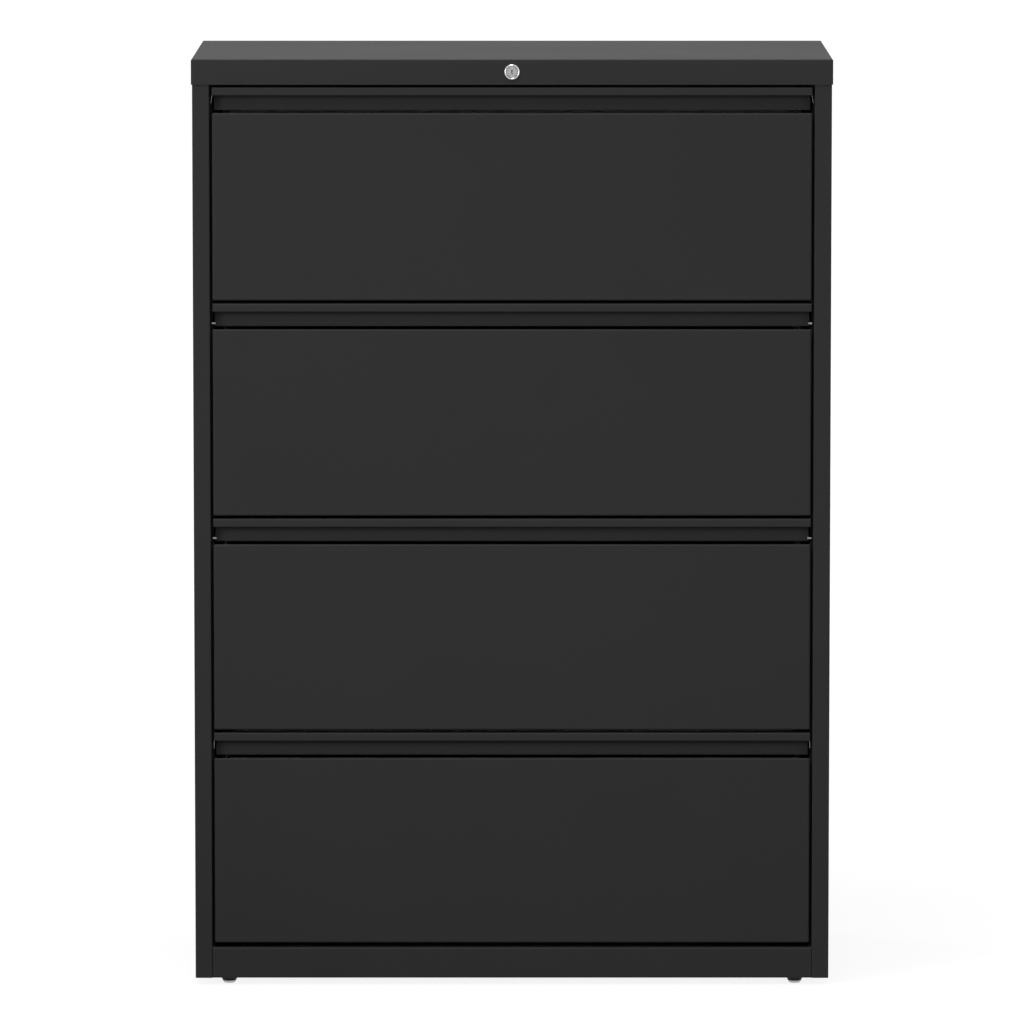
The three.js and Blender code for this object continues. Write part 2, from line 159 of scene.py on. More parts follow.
# %% [markdown]
# ## Bodies, finishes and slots
#
# A finished piece rides on the body that carries it, so that it moves with its drawer, key or
# foot, and it may stand for the plain solid of the same form. It could get its finish at once.
# Here the finish is only noted, because the finishes are easier to judge side by side, once every
# piece is there. A table names the slot of the part's record that each finish belongs to.

# %% Hand a piece to its body
COAT = "black_powder_coat"
ZINC = "zinc_plate"
SLOT_OF = {
    COAT: "black_powder_coat",
    ZINC: "zinc_plated_steel",
    "chrome_plate": "nickel_chrome",
    "satin_nickel": "nickel_chrome",
    "black_nylon": "black_nylon",
    "white_nylon": "black_nylon",
}
pieces_by_finish = {finish: [] for finish in SLOT_OF}


def hand_over(piece, body, finish, stands_for=None):
    """The piece rides on a body, takes a finish, and may stand for a solid."""
    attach(piece, body)
    pieces_by_finish[finish].append(piece)
    if stands_for is None:
        return
    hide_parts(stands_for)
    low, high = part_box(stands_for)
    off = 0
    for axis in range(3):
        reach = [corner[axis] for corner in piece.bound_box]
        off = max(off, abs(min(reach) - low[axis]), abs(max(reach) - high[axis]))
    print(f"{piece.name}: {len(piece.data.polygons)} faces, {off / MM:.2f} mm from its solid's box")


print("finishes in use:", len(SLOT_OF))

# %% [markdown]
# ## Top cover
#
# The cover is a shallow pan turned upside down. It laps over the case on all four sides. Its lock
# hole could be a dark disc under the bezel. A boolean cuts it instead, because the barrel of the
# lock really passes through the sheet.

# %% Top cover
COVER_GAUGE = 1.2 * MM
INSIDE_BEND = 0.8 * MM
low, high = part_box("top_cover")
cover = pan_skin("cover_sheet", low, high, DOWN, INSIDE_BEND + COVER_GAUGE)
thicken(cover, COVER_GAUGE)
lock_low, lock_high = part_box("lock_housing")
lock_axis = Vector((0, low.y, (lock_low.z + lock_high.z) / 2))
print("the lock sits", round((high.z - lock_axis.z) / MM, 1), "mm under the top")

# %% Lock hole
HOLE_RADIUS = 9.7 * MM
DRILL_DEPTH = 20 * MM
ROUND_SIDES = 48


def cut(piece, cutter, name):
    """A boolean takes the cutter's form out of the piece."""
    bite = piece.modifiers.new(name, "BOOLEAN")
    bite.object = cutter
    bpy.context.view_layer.objects.active = piece
    bpy.ops.object.modifier_apply(modifier=bite.name)
    bpy.data.objects.remove(cutter)


deselect_all()
bpy.ops.mesh.primitive_cylinder_add(vertices=ROUND_SIDES, radius=HOLE_RADIUS, depth=DRILL_DEPTH,
                                    location=lock_axis, rotation=(math.pi / 2, 0, 0))
cut(cover, bpy.context.object, "lock_hole")
hand_over(cover, "cabinet", COAT, "top_cover")

# %% [markdown]
# ## Strips with one section
#
# A side panel, a plinth or a pull is the same all along its length, so its section says
# everything. It could be carved out of a block, but a line is easier to change. A plane is merged
# to a single corner, that corner is extruded from fold to fold, the folds are rounded as corners
# of the line, and the line is run along the strip.

# %% A line from fold to fold
WELD = 1e-6


def trace(name, points):
    """A line of edges through the points, left in edit mode with all of it selected."""
    deselect_all()
    bpy.ops.mesh.primitive_plane_add(size=MM, location=points[0])
    piece = bpy.context.object
    piece.name = name
    bpy.ops.object.transform_apply(location=True, rotation=True, scale=True)
    bpy.ops.object.mode_set(mode="EDIT")
    bpy.ops.mesh.select_mode(type="VERT")
    bpy.ops.mesh.select_all(action="SELECT")
    bpy.ops.mesh.merge(type="CENTER")
    for here, there in zip(points, points[1:]):
        bpy.ops.mesh.extrude_vertices_move(TRANSFORM_OT_translate={"value": there - here})
    bpy.ops.mesh.select_all(action="SELECT")
    bpy.ops.mesh.remove_doubles(threshold=WELD)
    return piece


print("corners closer than", WELD / MM, "mm are one")

# %% A strip from its section
def strip_skin(name, points, along, bend, wide_bends=None):
    """A section's line with its folds rounded, some wider than the rest, run along its length."""
    piece = trace(name, points)
    for number, point in enumerate(points[1:-1], start=1):
        radius = (wide_bends or {}).get(number, bend)
        pick(piece, "VERT", lambda corner: (corner.co - point).length < WELD)
        bpy.ops.mesh.bevel(offset=radius, segments=BEND_STEPS, affect="VERTICES")
    bpy.ops.mesh.select_all(action="SELECT")
    bpy.ops.mesh.extrude_edges_move(TRANSFORM_OT_translate={"value": along})
    return piece


def face_out(piece, outside):
    """Turns the skin so that its widest face looks to the outside."""
    bpy.ops.mesh.select_all(action="SELECT")
    bpy.ops.mesh.normals_make_consistent(inside=False)
    widest = max(bmesh.from_edit_mesh(piece.data).faces, key=lambda face: face.calc_area())
    if widest.normal.dot(outside) < 0:
        bpy.ops.mesh.flip_normals()


def folded_strip(name, points, along, bend, gauge, outside, wide_bends=None):
    """A bent strip of sheet: the skin of its outer side, turned to face out, then thickened."""
    piece = strip_skin(name, points, along, bend, wide_bends)
    face_out(piece, outside)
    thicken(piece, gauge)
    return piece


print("a strip starts as one corner")

# %% [markdown]
# ## Side panels
#
# A side panel is one tall sheet. Its front edge folds twice to make the stile beside the drawers,
# and its rear edge folds once, to carry the back panel. A plain wall with a post in front would
# show a joint that isn't there. Seen from above the panel is one line, so it is run upwards.

# %% Side panels
CASE_GAUGE = 1 * MM
STILE_RETURN = 22 * MM
REAR_FLANGE = 20 * MM
SIDES = {"left": -1, "right": 1}


def side_panel(side, way):
    low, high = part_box(f"{side}_side_panel")
    outer, inner = (low.x, high.x) if way < 0 else (high.x, low.x)
    section = [
        Vector((inner, low.y + STILE_RETURN, low.z)),
        Vector((inner, low.y, low.z)),
        Vector((outer, low.y, low.z)),
        Vector((outer, high.y, low.z)),
        Vector((outer - way * REAR_FLANGE, high.y, low.z)),
    ]
    rise = Vector((0, 0, high.z - low.z))
    bend = INSIDE_BEND + CASE_GAUGE
    return folded_strip(f"{side}_side_sheet", section, rise, bend, CASE_GAUGE, RIGHT * way)


for side, way in SIDES.items():
    hand_over(side_panel(side, way), "cabinet", COAT, f"{side}_side_panel")

# %% [markdown]
# ## Plinth
#
# The strip under the lowest drawer has a deep flange on top and a shallow one below. A bevelled
# box would look the same from the front, but the real strip is hollow behind. Edges that a hand
# meets are bent over a wider radius, and that round is what draws a light line along them.

# %% Plinth
PLINTH_TOP_FLANGE = 20 * MM
PLINTH_FOOT_FLANGE = 8 * MM
EDGE_ROUND = 2.6 * MM
low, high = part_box("plinth_rail")
section = [
    Vector((low.x, low.y + PLINTH_TOP_FLANGE, high.z)),
    Vector((low.x, low.y, high.z)),
    Vector((low.x, low.y, low.z)),
    Vector((low.x, low.y + PLINTH_FOOT_FLANGE, low.z)),
]
width = Vector((high.x - low.x, 0, 0))
plinth = folded_strip("plinth_sheet", section, width, EDGE_ROUND, CASE_GAUGE, FRONT)
hand_over(plinth, "cabinet", COAT, "plinth_rail")

# %% [markdown]
# ## Four drawers alike
#
# All the drawers come off the same press, so each drawer piece is modelled once, for the top
# drawer, and copied down. The copies could share one mesh. Each has its own here, with its place
# in it, so that every piece stands at the origin and rides on its own drawer.

# %% Copy a piece down the drawers
DRAWERS = range(1, 5)
drawer_drop = {n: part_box(f"drawer_{n}_front")[0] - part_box("drawer_1_front")[0] for n in DRAWERS}


def copy_piece(piece, name, shift):
    deselect_all()
    piece.select_set(True)
    bpy.context.view_layer.objects.active = piece
    bpy.ops.object.duplicate(linked=False)
    twin = bpy.context.object
    twin.name = name
    twin.location = shift
    bpy.ops.object.transform_apply(location=True, rotation=False, scale=False)
    return twin


def fill_drawers(first, kind, solid):
    """The top drawer's piece and its copies below, each in the place of its solid."""
    copies = [copy_piece(first, f"drawer_{n}_{kind}", drawer_drop[n]) for n in DRAWERS[1:]]
    for n, piece in zip(DRAWERS, [first, *copies]):
        hand_over(piece, f"drawer_{n}", COAT, f"drawer_{n}_{solid}")


print("drawers step down by", [round(drop.z / MM, 1) for drop in drawer_drop.values()])

# %% [markdown]
# ## Drawer fronts
#
# Each front is a pressed pan, open at the back, with the same wide round along its edges as the
# plinth. A flat slab would have no shadow behind its edges. The top flange is short, so a dark
# slot shows between it and the wall of the recess. Bisect cuts it back.

# %% Drawer fronts
DRAWER_GAUGE = 0.9 * MM
TOP_FLANGE = 4.5 * MM
low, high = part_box("drawer_1_front")
face = pan_skin("drawer_1_face", low, high, BACK, EDGE_ROUND)
pick(face, "FACE", looks(UP))
bpy.ops.mesh.bisect(plane_co=low + BACK * TOP_FLANGE, plane_no=BACK, clear_outer=True)
thicken(face, DRAWER_GAUGE)
fill_drawers(face, "face", "front")

# %% [markdown]
# ## Pulls
#
# The full-width pull is the cleverest fold on the cabinet. The sheet starts with a hem behind the
# lip, turns round under it, runs up the lip, back over the top, and slants down to make the wall
# that the fingers reach. Lip and wall could be two pieces, but drawn as one section all of it is
# one strip, as it is in steel. The top of the lip has the wide round, and the wall behind is cut
# a little shorter than the lip.

# %% One pull
LIP_HEIGHT = 11.8 * MM
LIP_HEM = 2.7 * MM
LIP_HEM_HEIGHT = 7 * MM
WALL_FOOT = 14.5 * MM
FOOT_HEM = 2.6 * MM
FOOT_LIFT = 1.6 * MM
LIP_TOP_FOLD = 3
HEM_BEND = 0.496 * LIP_HEM  # just under half, so that the two bends of the hem don't meet
low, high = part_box("drawer_1_pull")
wall_foot = low.z + FOOT_LIFT
lip_bottom = high.z - LIP_HEIGHT
section = [
    Vector((low.x, low.y + LIP_HEM, lip_bottom + LIP_HEM_HEIGHT)),
    Vector((low.x, low.y + LIP_HEM, lip_bottom)),
    Vector((low.x, low.y, lip_bottom)),
    Vector((low.x, low.y, high.z)),
    Vector((low.x, high.y, high.z)),
    Vector((low.x, low.y + WALL_FOOT, wall_foot)),
    Vector((low.x, low.y + WALL_FOOT - FOOT_HEM, wall_foot)),
]
width = Vector((high.x - low.x, 0, 0))
pull = folded_strip("drawer_1_lip", section, width, HEM_BEND, DRAWER_GAUGE, BACK,
                    {LIP_TOP_FOLD: EDGE_ROUND})
print("a pull has", len(section) - 2, "folds and is", round(width.x / MM, 1), "mm wide")

# %% Shorter walls, and all four pulls
WALL_CUT = 2.5 * MM
behind_lip = low.y + 2 * LIP_HEM
bpy.ops.object.mode_set(mode="EDIT")
for end, inward in ((low.x, RIGHT), (high.x, LEFT)):
    pick(pull, "VERT", lambda corner: abs(corner.co.x - end) < WELD and corner.co.y > behind_lip)
    bpy.ops.transform.translate(value=inward * WALL_CUT)
bpy.ops.object.mode_set(mode="OBJECT")
fill_drawers(pull, "lip", "pull")

# %% [markdown]
# ## Drawer bodies
#
# The body is a deep pan. Its sides and back end in a hem, folded out and down so that no raw edge
# meets a hand. A thick rim would look like a hem from above, but not from the end. The front wall
# stands taller, to back the pull. A long slot in that wall, level with the top of the front,
# leaves the gap under the recess dark. The wall is run up in three steps, and the middle one is
# opened.

# %% A pan with a hem
BODY_HEM = 1.3 * MM
BODY_HEM_HEIGHT = 7 * MM
BODY_HEIGHT = 245 * MM
low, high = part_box("drawer_1_tray")
rim = low.z + BODY_HEIGHT
skin_low = Vector((low.x + BODY_HEM, low.y, low.z))
skin_high = Vector((high.x - BODY_HEM, high.y - BODY_HEM, rim))
tray = pan_skin("drawer_1_body", skin_low, skin_high, UP, INSIDE_BEND + DRAWER_GAUGE)


def rim_edge(outward):
    """A test for the straight part of the rim on one side of the pan."""
    reach = skin_high.dot(outward) if sum(outward) > 0 else skin_low.dot(outward)

    def on_rim(corner):
        return abs(corner.co.z - rim) < WELD and abs(corner.co.dot(outward) - reach) < WELD

    return lambda edge: all(on_rim(corner) for corner in edge.verts)


for outward in (LEFT, RIGHT, BACK):
    pick(tray, "EDGE", rim_edge(outward))
    bpy.ops.mesh.extrude_edges_move(TRANSFORM_OT_translate={"value": outward * BODY_HEM})
    bpy.ops.mesh.extrude_edges_move(TRANSFORM_OT_translate={"value": DOWN * BODY_HEM_HEIGHT})
print("the hem is", round(BODY_HEM_HEIGHT / MM, 1), "mm high")

# %% The slotted front wall
SLOT_RISE = 5 * MM
SLOT_TAB = 4 * MM
front_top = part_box("drawer_1_front")[1].z
levels = [rim, front_top - SLOT_RISE, front_top + SLOT_RISE, high.z]
pick(tray, "EDGE", rim_edge(FRONT))
for below, above in zip(levels, levels[1:]):
    bpy.ops.mesh.extrude_edges_move(TRANSFORM_OT_translate={"value": UP * (above - below)})


def in_slot(part):
    """A test for the faces of the wall's middle step."""
    return abs(part.calc_center_median().z - front_top) < SLOT_RISE


for x in (skin_low.x + SLOT_TAB, skin_high.x - SLOT_TAB):
    pick(tray, "FACE", in_slot)
    bpy.ops.mesh.bisect(plane_co=RIGHT * x, plane_no=RIGHT)
pick(tray, "FACE", lambda part: in_slot(part) and abs(part.calc_center_median().x) < SLOT_TAB)
bpy.ops.mesh.delete(type="FACE")
print("front wall rises", [round((level - rim) / MM, 1) for level in levels], "mm above the rim")
thicken(tray, DRAWER_GAUGE)
fill_drawers(tray, "body", "tray")

# %% [markdown]
# ## Lock bezel
#
# The lock is a cam lock: a chromed bezel outside the cover, and a plug that turns in it with the
# key. Both are turned on a lathe. A bevelled cylinder would do for the bezel from far away, but a
# half section, spun about the lock's axis, also gives the crowned ring and the barrel behind it.

# %% Turned parts
EASE_STEPS = 3


def turned(name, points, centre, axis, ease=0, sides=ROUND_SIDES):
    """A turned part: a half section, its corners eased or left sharp, spun about its axis."""
    piece = trace(name, points)
    if ease:
        bpy.ops.mesh.bevel(offset=ease, segments=EASE_STEPS, affect="VERTICES")
    bpy.ops.mesh.select_all(action="SELECT")
    bpy.ops.mesh.spin(steps=sides, angle=2 * math.pi, center=centre, axis=axis)
    bpy.ops.mesh.select_all(action="SELECT")
    bpy.ops.mesh.remove_doubles(threshold=WELD)
    bpy.ops.mesh.normals_make_consistent(inside=False)
    bpy.ops.object.mode_set(mode="OBJECT")
    shade_evenly(piece)
    return piece


print("turned parts have", ROUND_SIDES, "sides where nothing else is said")

# %% Bezel
BEZEL_RADIUS = 11 * MM
BARREL_RADIUS = 9.4 * MM
BORE_RADIUS = 8.1 * MM
BEZEL_RISE = 2.4 * MM
BEZEL_SEAT = 0.3 * MM
BARREL_LENGTH = 20 * MM
CROWN_SHARE = 0.45
CROWN_STEPS = 8
LOCK_SIDES = 64


def from_lock(radius, depth):
    """A point so far from the lock's axis, and so deep behind the face of the cover."""
    return lock_axis + RIGHT * radius + BACK * depth


crown = []
for step in range(CROWN_STEPS + 1):
    across = step / CROWN_STEPS
    rise = BEZEL_RISE * (1 - CROWN_SHARE + CROWN_SHARE * math.sin(math.pi * across))
    crown.append(from_lock(BORE_RADIUS + (BEZEL_RADIUS - BORE_RADIUS) * across, -rise))
section = [
    from_lock(BORE_RADIUS, BARREL_LENGTH),
    *crown,
    from_lock(BEZEL_RADIUS, -BEZEL_SEAT),
    from_lock(BARREL_RADIUS, -BEZEL_SEAT),
    from_lock(BARREL_RADIUS, BARREL_LENGTH),
    from_lock(BORE_RADIUS, BARREL_LENGTH),
]
bezel = turned("lock_bezel", section, lock_axis, BACK, sides=LOCK_SIDES)
hand_over(bezel, "cabinet", "chrome_plate", "lock_housing")

# %% [markdown]
# ## Plug face
#
# The end of the plug is what shows inside the bezel: a satin disc with a chamfer, a fine groove
# and a crooked keyway that takes only its own key. The plug's solid stays for its barrel and cam.
# The keyway could be a dark patch in the finish, but a real slot is dark from every side, so a
# thin turned face lies on the plug's end and a boolean cuts the slot in it. Inside the slot, the
# plug's solid also carries painted shade: it takes the dark finish of bare steel.

# %% Plug face
PLUG_RADIUS = 7.9 * MM
FACE_GAUGE = 0.5 * MM
FACE_CHAMFER = 0.45 * MM
GROOVE_RADIUS = 6.2 * MM
GROOVE_WIDTH = 0.5 * MM
GROOVE_DEPTH = 0.2 * MM
plug_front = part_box("lock_plug")[0].y - lock_axis.y
face_front = plug_front - FACE_GAUGE
section = [
    from_lock(0, plug_front),
    from_lock(0, face_front),
    from_lock(GROOVE_RADIUS, face_front),
    from_lock(GROOVE_RADIUS + GROOVE_WIDTH / 2, face_front + GROOVE_DEPTH),
    from_lock(GROOVE_RADIUS + GROOVE_WIDTH, face_front),
    from_lock(PLUG_RADIUS - FACE_CHAMFER, face_front),
    from_lock(PLUG_RADIUS, face_front + FACE_CHAMFER),
    from_lock(PLUG_RADIUS, plug_front),
    from_lock(0, plug_front),
]
plug_face = turned("lock_plug_face", section, lock_axis, BACK, sides=LOCK_SIDES)
print("plug face", len(plug_face.data.polygons), "faces before the keyway")

# %% Keyway
KEYWAY_MM = [(-0.9, 3.5), (0.9, 3.5), (0.9, 1.2), (0.2, 0.5), (0.2, -0.9),
             (0.9, -1.6), (0.9, -3.5), (-0.2, -3.5), (-0.2, -2.2), (-0.9, -1.5)]
CUTTER_CLEARANCE = 1 * MM
CUTTER_DEPTH = 3 * MM
before_face = lock_axis + BACK * (face_front - CUTTER_CLEARANCE)
outline = [before_face + RIGHT * x * MM + UP * z * MM for x, z in KEYWAY_MM]
keyway_cutter = trace("keyway_cutter", outline + outline[:1])
bpy.ops.mesh.edge_face_add()
bpy.ops.mesh.extrude_region_move(TRANSFORM_OT_translate={"value": BACK * CUTTER_DEPTH})
bpy.ops.mesh.select_all(action="SELECT")
bpy.ops.mesh.normals_make_consistent(inside=False)
bpy.ops.object.mode_set(mode="OBJECT")
cut(plug_face, keyway_cutter, "keyway")
hand_over(plug_face, "lock_plug", "satin_nickel")
print("plug face", len(plug_face.data.polygons), "faces with it")

# %% [markdown]
# ## Levelling glides
#
# Under each corner a glide stands on the floor: a black nylon cone on a threaded stem, with a
# plated steel sole underneath that slides without catching. A true thread is a helix. Rings of the
# same pitch look the same from any step away and close without a seam, so the stem is turned like
# the rest.

# %% Glides
SOLE_HEIGHT = 3.4 * MM
SOLE_EASE = 0.7 * MM
RIM_HEIGHT = 1.5 * MM
BASE_RADIUS = 8.3 * MM
CONE_RADIUS = 12.3 * MM
CONE_EASE = 0.3 * MM
SHOULDER = 11 * MM
STEM_RADIUS = 4 * MM
STEM_SIDES = 20
THREAD_PITCH = 1.25 * MM
THREAD_DEPTH = 0.65 * MM


def glide(corner):
    node = f"{corner}_foot"
    low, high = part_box(node)
    centre = Vector(((low.x + high.x) / 2, (low.y + high.y) / 2, 0))
    cone_top = SHOULDER - RIM_HEIGHT
    at_sole = BASE_RADIUS + (CONE_RADIUS - BASE_RADIUS) * SOLE_HEIGHT / cone_top

    def ring(radius, height):
        return centre + RIGHT * radius + UP * height

    cone = turned(f"{corner}_glide_cone", [
        ring(0, SOLE_HEIGHT), ring(at_sole, SOLE_HEIGHT), ring(CONE_RADIUS, cone_top),
        ring(CONE_RADIUS, SHOULDER), ring(0, SHOULDER)], centre, UP, ease=CONE_EASE)
    sole = turned(f"{corner}_glide_sole", [
        ring(0, 0), ring(BASE_RADIUS - SOLE_EASE, 0), ring(BASE_RADIUS, SOLE_EASE),
        ring(at_sole, SOLE_HEIGHT), ring(0, SOLE_HEIGHT)], centre, UP)
    turns = int((high.z - SHOULDER) / THREAD_PITCH) - 1
    thread = [ring(0, SHOULDER)]
    for turn in range(turns):
        foot = SHOULDER + turn * THREAD_PITCH
        thread.append(ring(STEM_RADIUS - THREAD_DEPTH, foot))
        thread.append(ring(STEM_RADIUS, foot + THREAD_PITCH / 2))
    thread += [ring(STEM_RADIUS - THREAD_DEPTH, high.z), ring(0, high.z)]
    stem = turned(f"{corner}_glide_stem", thread, centre, UP, sides=STEM_SIDES)
    hand_over(cone, node, "black_nylon")
    hand_over(sole, node, ZINC)
    hand_over(stem, node, ZINC)
    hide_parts(node)
    print(corner, "glide:", turns, "threads")


for corner in ("front_left", "front_right", "rear_left", "rear_right"):
    glide(corner)

# %% [markdown]
# ## Rivets
#
# Blind rivets hold the back panel to the rear flanges, and hold each inner rail to its drawer
# body. They could be bumps in the finish, but a head has a rim that casts a shadow. One head is
# modelled, a short cylinder with its rim bevelled round, and then copied along its row.

# %% One head, and a row of them
HEAD_SIDES = 16
HEAD_STEPS = 4
ROUND_OF_RISE = 0.7
ROUND_OF_RADIUS = 0.4


def button_head(name, spot, outward, radius, rise):
    """A round head or pin that stands on a surface."""
    deselect_all()
    bpy.ops.mesh.primitive_cylinder_add(
        vertices=HEAD_SIDES, radius=radius, depth=rise, location=spot + outward * rise / 2,
        rotation=UP.rotation_difference(outward).to_euler())
    head = bpy.context.object
    head.name = name
    bpy.ops.object.transform_apply(location=True, rotation=True, scale=True)
    bpy.ops.object.mode_set(mode="EDIT")
    top = spot.dot(outward) + rise
    pick(head, "EDGE", lambda edge: all(
        abs(corner.co.dot(outward) - top) < WELD for corner in edge.verts))
    ease = min(ROUND_OF_RISE * rise, ROUND_OF_RADIUS * radius)
    bpy.ops.mesh.bevel(offset=ease, segments=HEAD_STEPS, affect="EDGES")
    bpy.ops.object.mode_set(mode="OBJECT")
    shade_evenly(head)
    return head


def head_row(name, spots, outward, radius, rise):
    """Heads at all the spots, as one piece."""
    first = button_head(name, spots[0], outward, radius, rise)
    others = [copy_piece(first, f"{name}_{n}", spot - spots[0])
              for n, spot in enumerate(spots[1:])]
    deselect_all()
    for head in [first, *others]:
        head.select_set(True)
    bpy.context.view_layer.objects.active = first
    bpy.ops.object.join()
    return first


print("heads have", HEAD_SIDES, "sides")

# %% Rivets on the back panel
RIVET_RADIUS = 3.2 * MM
RIVET_RISE = 1.1 * MM
BACK_RIVETS = 7
RIVET_END_GAP = 60 * MM
for side, way in SIDES.items():
    low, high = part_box(f"{side}_side_panel")
    x = way * (abs(low.x if way < 0 else high.x) - REAR_FLANGE / 2)
    pitch = (high.z - low.z - 2 * RIVET_END_GAP) / (BACK_RIVETS - 1)
    first = Vector((x, high.y, low.z + RIVET_END_GAP))
    spots = [first + UP * pitch * n for n in range(BACK_RIVETS)]
    rivets = head_row(f"{side}_back_rivets", spots, BACK, RIVET_RADIUS, RIVET_RISE)
    hand_over(rivets, "cabinet", COAT)
    print(side, "rivets every", round(pitch / MM, 1), "mm")

# %% Rivets in the drawers
RAIL_RIVETS = 4
RAIL_END_GAP = 50 * MM
for n in DRAWERS:
    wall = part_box(f"drawer_{n}_tray")[1].x - BODY_HEM - DRAWER_GAUGE
    for side, way in SIDES.items():
        low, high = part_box(f"drawer_{n}_{side}_inner_rail")
        pitch = (high.y - low.y - 2 * RAIL_END_GAP) / (RAIL_RIVETS - 1)
        first = Vector((way * wall, low.y + RAIL_END_GAP, (low.z + high.z) / 2))
        spots = [first + BACK * pitch * k for k in range(RAIL_RIVETS)]
        name = f"drawer_{n}_{side}_rivets"
        rivets = head_row(name, spots, LEFT * way, RIVET_RADIUS, RIVET_RISE)
        hand_over(rivets, f"drawer_{n}", ZINC)
print("rivets in", len(DRAWERS), "drawers, every", round(pitch / MM, 1), "mm")

# %% [markdown]
# ## Centring pins
#
# Something small and bright shows at both ends of every recess, in the dark gap beside the pull.
# It keeps a closing drawer in the middle of the case. On the two middle drawers it is a white
# nylon pin on the wall of the recess. It has the form of a long rivet head, so it is made as one.

# %% Centring pins
PIN_DRAWERS = (2, 3)
PIN_RADIUS = 1.4 * MM
PIN_LENGTH = 5.5 * MM
PIN_DEPTH = 13.6 * MM
PIN_LEVEL = 275.4 * MM
PIN_REACH = 1.6 * MM


def front_corner(n, way):
    """The lower front corner of a drawer front, on one side."""
    low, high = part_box(f"drawer_{n}_front")
    return Vector((way * high.x, low.y, low.z))


for n in PIN_DRAWERS:
    for side, way in SIDES.items():
        outward = RIGHT * way
        root = front_corner(n, way) + BACK * PIN_DEPTH + UP * PIN_LEVEL
        root += outward * (PIN_REACH - PIN_LENGTH)
        pin = button_head(f"drawer_{n}_{side}_pin", root, outward, PIN_RADIUS, PIN_LENGTH)
        hand_over(pin, f"drawer_{n}", "white_nylon")
print("centring pins on drawers", PIN_DRAWERS)

# %% [markdown]
# ## Leaf springs
#
# On the top and bottom drawers the same work is done by a leaf of spring steel that hangs from
# behind the lip. A bent box would be too thick for it. An angle of thin strip grips the hem, and
# the edge at its bend is extruded down to make the blade.

# %% Leaf springs
LEAF_GAUGE = 0.25 * MM
LEAF_BEND = 3 * LEAF_GAUGE
LEAF_STAND_OFF = 1.2 * LEAF_GAUGE
LEAF_LIFT = 1 * MM
LEAF_LEG = 7 * MM
LEAF_DEPTH = 4 * MM
LEAF_GRIP = 5 * MM
LEAF_HANG = 12 * MM
LEAF_REACH = {1: -0.4 * MM, 4: 0.2 * MM}
LEAF_LEAN = {1: 2 * MM, 4: 0.2 * MM}


def leaf_spring(n, side, way):
    """An angle that grips the hem behind the lip, and its blade, which hangs down in the gap."""
    outward = RIGHT * way
    bend = front_corner(n, way) + outward * LEAF_REACH[n] + BACK * (LIP_HEM + LEAF_STAND_OFF)
    bend.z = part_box(f"drawer_{n}_pull")[1].z - LIP_HEIGHT + LEAF_LIFT
    section = [bend - outward * LEAF_LEG, bend, bend + BACK * LEAF_DEPTH]
    leaf = strip_skin(f"drawer_{n}_{side}_leaf", section, UP * LEAF_GRIP, LEAF_BEND)

    def at_bend(corner):
        return abs(corner.co.z - bend.z) < WELD and abs(corner.co.x - bend.x) < WELD

    pick(leaf, "EDGE", lambda edge: all(at_bend(corner) for corner in edge.verts))
    hang = DOWN * LEAF_HANG + outward * LEAF_LEAN[n]
    bpy.ops.mesh.extrude_edges_move(TRANSFORM_OT_translate={"value": hang})
    face_out(leaf, BACK)
    thicken(leaf, LEAF_GAUGE)
    hand_over(leaf, f"drawer_{n}", ZINC)


for n in LEAF_REACH:
    for side, way in SIDES.items():
        leaf_spring(n, side, way)
print("leaf springs on drawers", sorted(LEAF_REACH))

# %% [markdown]
# ## Colours and nodes
#
# Finishes are written as sRGB hex values, the way a paint card gives them, and turned to the
# linear light that the renderer adds up. One small function adds a node with its settings, its
# numbers and its links, so that a finish reads from top to bottom as it would be built by hand.

# %% Colour and node helpers
def linear(hex_value):
    channels = [int(hex_value[i:i + 2], 16) / 255 for i in (1, 3, 5)]
    return [c / 12.92 if c <= 0.04045 else ((c + 0.055) / 1.055) ** 2.4 for c in channels] + [1]


def add_node(tree, kind, values=None, links=None, **settings):
    node = tree.nodes.new(kind)
    for name, value in settings.items():
        setattr(node, name, value)
    for socket, value in (values or {}).items():
        node.inputs[socket].default_value = value
    for socket, (source, output) in (links or {}).items():
        tree.links.new(source.outputs[output], node.inputs[socket])
    return node


print("mid grey #808080 is", round(linear("#808080")[0], 3), "in linear light")

# %% A finish starts and ends alike
MIX_A, MIX_B, MIX_RESULT = 6, 7, 2  # a Mix node's sockets for colours


def new_finish(name, values):
    """A material with one Principled shader, and the Object coordinates that its patterns read."""
    material = bpy.data.materials.new(name)
    material.use_nodes = True
    tree = material.node_tree
    tree.nodes.clear()
    place = add_node(tree, "ShaderNodeTexCoord")
    shader = add_node(tree, "ShaderNodeBsdfPrincipled", values)
    add_node(tree, "ShaderNodeOutputMaterial", links={"Surface": (shader, "BSDF")})
    return material, tree, place, shader


def feed(tree, shader, colour, bump, sheen=None):
    """Links the colour, the bump and, where it varies, the sheen to the shader."""
    tree.links.new(colour.outputs[MIX_RESULT], shader.inputs["Base Color"])
    tree.links.new(bump.outputs["Normal"], shader.inputs["Normal"])
    if sheen:
        tree.links.new(sheen.outputs["Result"], shader.inputs["Roughness"])


def per_metre(size_mm):
    """Noise scale for a grain of that many millimetres."""
    return 1 / (size_mm * MM)


print("a grain of 2 mm has scale", per_metre(2))

# %% [markdown]
# ## Black powder coat
#
# Polyester powder is sprayed on dry and baked. It flows out almost flat, with a fine orange peel,
# and dries to a satin sheen. A flat colour with one roughness would look like plastic film. The
# peel is a bump of soft noise. Real peel has cells of about 1.5 mm, which are drawn twice as wide
# here, so that they show. A slow cloud makes tone and sheen wander, as they do on thin sheet.

# %% Powder coat
PEEL_MM = 3
SPECK_MM = 1.5
CLOUD_MM = 160


